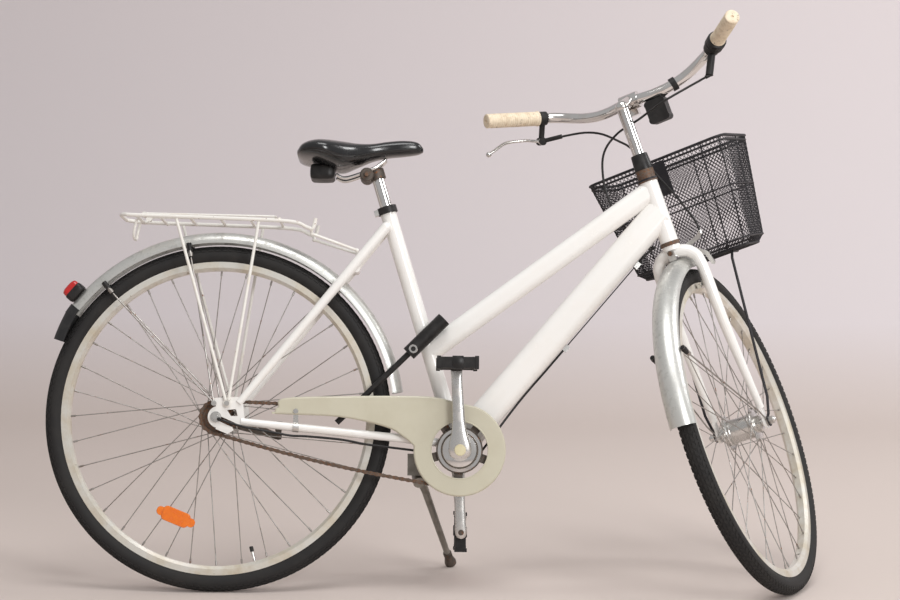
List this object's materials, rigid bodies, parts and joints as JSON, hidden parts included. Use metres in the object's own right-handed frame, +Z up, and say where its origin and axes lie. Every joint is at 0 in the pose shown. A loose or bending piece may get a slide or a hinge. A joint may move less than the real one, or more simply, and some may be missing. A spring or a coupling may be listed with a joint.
{
  "type": "city bicycle",
  "caption": "City bicycle leaning on its side kickstand, bars turned left, with mudguards, rear rack and front basket.",
  "frame": {"origin": "on the ground under the middle of the bicycle's bounding box", "axes": "+X towards the front, +Y towards the kickstand side, +Z up"},
  "size_m": [1.6294, 0.6696, 1.1823],
  "materials": {
    "white_paint": "gloss, worn",
    "chrome": "polished",
    "steel_sheet": "dull silver",
    "alloy": "satin",
    "spoke_steel": "dull",
    "rusty_steel": "rust-stained",
    "dark_steel": "dull",
    "black_plastic": "matt",
    "black_wire": "satin black",
    "tyre_rubber": "matt",
    "flap_rubber": "matt",
    "guard_plastic": "satin khaki",
    "grip_cream": "worn, marbled",
    "saddle_vinyl": "smooth, worn",
    "amber_lens": "ribbed reflector"
  },
  "bodies": {
    "frame": {"head_tube": "white_paint", "top_tube": "white_paint", "down_tube": "white_paint", "seat_tube": "white_paint", "seat_stays": "white_paint", "chain_stays": "white_paint", "rear_dropouts": "white_paint", "bearing_cups": "dark_steel", "rear_axle": "alloy", "coaster_brake_arm": "alloy", "frame_fasteners": "alloy", "chain_guard": "guard_plastic", "kickstand_bracket": "dark_steel", "rear_mudguard": "steel_sheet", "rear_mudguard_stays": "spoke_steel", "mudflap": "flap_rubber", "rear_lamp": "black_plastic", "rack": "white_paint", "gear_cable": "black_plastic", "gear_cable_loop": "black_plastic", "bar_lock": "black_plastic", "chain": "rusty_steel"},
    "steering": {"fork": "white_paint", "fork_fasteners": "rusty_steel", "stem": "chrome", "handlebar": "chrome", "hand_grips": "grip_cream", "control_clamps": "black_plastic", "front_mudguard": "steel_sheet", "front_mudguard_stays": "spoke_steel", "front_axle": "alloy", "basket": "black_wire", "basket_struts": "black_wire", "front_lamp": "black_plastic", "brake_cable": "black_plastic"},
    "front_wheel": {"front_tyre": "tyre_rubber", "front_rim": "chrome", "front_spokes": "spoke_steel", "front_hub": "alloy"},
    "rear_wheel": {"rear_tyre": "tyre_rubber", "rear_rim": "chrome", "rear_spokes": "spoke_steel", "rear_hub": "alloy", "spoke_reflector": "amber_lens"},
    "sprocket": {"rear_sprocket": "rusty_steel"},
    "crankset": {"crank_spindle": "alloy", "chainring": "dark_steel", "right_crank": "alloy", "left_crank": "alloy"},
    "pedal_right": {"right_pedal": "black_plastic"},
    "pedal_left": {"left_pedal": "black_plastic"},
    "stand": {"kickstand_leg": "alloy"},
    "saddle_post": {"seatpost": "chrome", "saddle": "saddle_vinyl", "saddle_rails": "chrome"},
    "rack_clip": {"rack_spring_clip": "rusty_steel"},
    "lever": {"brake_lever": "alloy"},
    "brake_arm_left": {"caliper_arm_left": "alloy"},
    "brake_arm_right": {"caliper_arm_right": "alloy"},
    "shifter": {"twist_shifter": "black_plastic"}
  },
  "joints": [
    {"name": "steer_turn", "type": "hinge", "parent": "frame", "child": "steering", "pos_m": [0.43392, 0.01019, 0.77641], "axis": [-0.3305, 0.1167, 0.9366], "range_deg": [-132, 8], "deforming": ["gear_cable_loop"]},
    {"name": "front_wheel_spin", "type": "hinge", "parent": "steering", "child": "front_wheel", "pos_m": [0.6128, -0.00456, 0.32936], "axis": [-0.8333, 0.4298, -0.3476], "continuous": true},
    {"name": "rear_wheel_spin", "type": "hinge", "parent": "frame", "child": "rear_wheel", "pos_m": [-0.4647, -0.04324, 0.34746], "axis": [0, 0.9923, -0.1236], "continuous": true},
    {"name": "crank_spin", "type": "hinge", "parent": "frame", "child": "crankset", "pos_m": [0.0233, -0.0509, 0.28594], "axis": [0, 0.9923, -0.1236], "continuous": true, "deforming": ["chain"]},
    {"name": "sprocket_spin", "type": "hinge", "parent": "frame", "child": "sprocket", "pos_m": [-0.4647, -0.04324, 0.34746], "axis": [0, 0.9923, -0.1236], "continuous": true},
    {"name": "pedal_right_spin", "type": "hinge", "parent": "crankset", "child": "pedal_right", "pos_m": [0.0147, -0.02992, 0.45442], "axis": [0, 0.9923, -0.1236], "continuous": true},
    {"name": "pedal_left_spin", "type": "hinge", "parent": "crankset", "child": "pedal_left", "pos_m": [0.0319, -0.07189, 0.11746], "axis": [0, 0.9923, -0.1236], "continuous": true},
    {"name": "stand_fold", "type": "hinge", "parent": "frame", "child": "stand", "pos_m": [-0.0617, -0.00983, 0.23547], "axis": [-0.1228, 0.8996, 0.4192], "range_deg": [0, 102]},
    {"name": "saddle_height", "type": "slide", "parent": "frame", "child": "saddle_post", "axis": [-0.294, 0.1181, 0.9485], "range_m": [-0.04, 0.08]},
    {"name": "clip_lift", "type": "hinge", "parent": "frame", "child": "rack_clip", "pos_m": [-0.6197, 0.00731, 0.75333], "axis": [0, -0.9923, 0.1236], "range_deg": [0, 75], "stiffness_Nm_per_rad": 0.3, "springref_deg": -34.38},
    {"name": "lever_pull", "type": "hinge", "parent": "steering", "child": "lever", "pos_m": [0.20422, 0.21224, 0.92964], "axis": [-0.4622, 0.8868, -0.0023], "range_deg": [0, 18], "stiffness_Nm_per_rad": 1, "springref_deg": -14.32, "deforming": ["brake_cable"]},
    {"name": "arm_right_close", "type": "hinge", "parent": "steering", "child": "brake_arm_right", "pos_m": [0.47829, 0.02924, 0.6936], "axis": [0.4431, 0.8954, 0.0448], "range_deg": [0, 1.2]},
    {"name": "arm_left_close", "type": "hinge", "parent": "steering", "child": "brake_arm_left", "pos_m": [0.47829, 0.02924, 0.6936], "axis": [-0.4431, -0.8954, -0.0448], "range_deg": [0, 1.2]},
    {"name": "shifter_twist", "type": "hinge", "parent": "steering", "child": "shifter", "pos_m": [0.54499, 0.00731, 1.12724], "axis": [0.124, -0.9275, 0.3527], "range_deg": [-30, 30]}
  ],
  "couplings": [
    {"joint": "sprocket_spin", "follows": "crank_spin", "ratio": 2.375},
    {"joint": "arm_right_close", "follows": "lever_pull", "ratio": 0.0666},
    {"joint": "arm_left_close", "follows": "lever_pull", "ratio": 0.0666}
  ]
}
